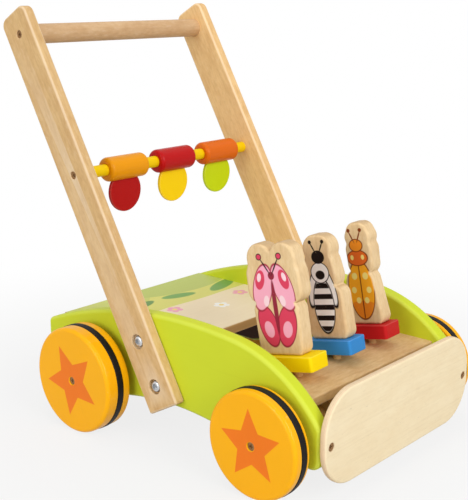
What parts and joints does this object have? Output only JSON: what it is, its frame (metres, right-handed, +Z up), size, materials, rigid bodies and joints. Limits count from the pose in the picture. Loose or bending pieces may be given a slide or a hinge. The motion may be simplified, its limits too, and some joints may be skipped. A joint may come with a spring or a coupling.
{
  "type": "baby push walker",
  "caption": "Wooden push walker for a toddler: arched side panels on wheels with rubber rings, a leaning handle frame with turning beads, and figures that turn as it rolls.",
  "frame": {"origin": "on the floor under the middle of the overall box", "axes": "+X along the axles, -Y to the front, +Z up"},
  "size_m": [0.317, 0.4086, 0.4214],
  "materials": {
    "panel_green": "satin paint",
    "post_wood": "clear lacquer",
    "rod_yellow": "satin paint",
    "deck_print": "printed and lacquered",
    "board_wood": "clear lacquer",
    "inner_wood": "bare",
    "figure_wood": "printed and lacquered",
    "wheel_orange": "satin paint",
    "ring_rubber": "matt",
    "bright_steel": "zinc plated",
    "dark_steel": "dark plated",
    "bead_orange": "gloss paint",
    "bead_red": "gloss paint",
    "bead_deep_orange": "gloss paint",
    "flag_red": "gloss paint",
    "flag_yellow": "gloss paint",
    "flag_green": "gloss paint",
    "base_yellow": "gloss paint",
    "base_blue": "gloss paint",
    "base_red": "gloss paint"
  },
  "bodies": {
    "frame": {"right_side_panel": "panel_green", "left_side_panel": "panel_green", "right_post": "post_wood", "left_post": "post_wood", "handle_bar": "post_wood", "bead_rod": "rod_yellow", "upper_deck": "deck_print", "lower_deck": "board_wood", "front_board": "board_wood", "rear_board": "inner_wood", "post_bolts": "bright_steel", "tee_nuts": "bright_steel", "handle_screws": "dark_steel", "rod_screws": "dark_steel", "front_board_screws": "dark_steel", "upper_deck_dowels": "inner_wood", "lower_deck_dowels": "inner_wood", "rear_board_dowels": "inner_wood"},
    "front_wheelset": {"front_axle": "inner_wood", "front_right_wheel": "wheel_orange", "front_left_wheel": "wheel_orange", "front_right_ring": "ring_rubber", "front_left_ring": "ring_rubber", "front_wheel_screws": "dark_steel", "front_spacers": "inner_wood", "drive_rollers": "inner_wood"},
    "rear_wheelset": {"rear_axle": "inner_wood", "rear_right_wheel": "wheel_orange", "rear_left_wheel": "wheel_orange", "rear_right_ring": "ring_rubber", "rear_left_ring": "ring_rubber", "rear_wheel_screws": "dark_steel", "rear_spacers": "inner_wood"},
    "right_bead_and_flag": {"right_bead": "bead_orange", "right_flag": "flag_red"},
    "middle_bead_and_flag": {"middle_bead": "bead_red", "middle_flag": "flag_yellow"},
    "left_bead_and_flag": {"left_bead": "bead_deep_orange", "left_flag": "flag_green"},
    "right_figure_set": {"right_figure": "figure_wood", "right_base": "base_yellow", "right_spindle": "inner_wood", "right_friction_disc": "inner_wood"},
    "middle_figure_set": {"middle_figure": "figure_wood", "middle_base": "base_blue", "middle_spindle": "inner_wood", "middle_friction_disc": "inner_wood"},
    "left_figure_set": {"left_figure": "figure_wood", "left_base": "base_red", "left_spindle": "inner_wood", "left_friction_disc": "inner_wood"}
  },
  "joints": [
    {"name": "front_roll", "type": "hinge", "parent": "frame", "child": "front_wheelset", "pos_m": [0, -0.14329, 0.051], "axis": [1, 0, 0], "continuous": true},
    {"name": "rear_roll", "type": "hinge", "parent": "frame", "child": "rear_wheelset", "pos_m": [0, 0.08521, 0.055], "axis": [1, 0, 0], "continuous": true},
    {"name": "right_bead_turn", "type": "hinge", "parent": "frame", "child": "right_bead_and_flag", "pos_m": [-0.0645, 0.10187, 0.25932], "axis": [1, 0, 0], "continuous": true},
    {"name": "middle_bead_turn", "type": "hinge", "parent": "frame", "child": "middle_bead_and_flag", "pos_m": [0.006, 0.10187, 0.25932], "axis": [1, 0, 0], "continuous": true},
    {"name": "left_bead_turn", "type": "hinge", "parent": "frame", "child": "left_bead_and_flag", "pos_m": [0.0765, 0.10187, 0.25932], "axis": [1, 0, 0], "continuous": true},
    {"name": "right_figure_turn", "type": "hinge", "parent": "frame", "child": "right_figure_set", "pos_m": [-0.061, -0.12779, 0.088], "axis": [0, 0.1994, 0.9799], "continuous": true},
    {"name": "middle_figure_turn", "type": "hinge", "parent": "frame", "child": "middle_figure_set", "pos_m": [0, -0.12779, 0.088], "axis": [0, 0.1994, 0.9799], "continuous": true},
    {"name": "left_figure_turn", "type": "hinge", "parent": "frame", "child": "left_figure_set", "pos_m": [0.061, -0.12779, 0.088], "axis": [0, 0.1994, 0.9799], "continuous": true}
  ],
  "couplings": [
    {"joint": "right_figure_turn", "follows": "front_roll", "ratio": -1},
    {"joint": "middle_figure_turn", "follows": "front_roll", "ratio": -1},
    {"joint": "left_figure_turn", "follows": "front_roll", "ratio": -1}
  ]
}
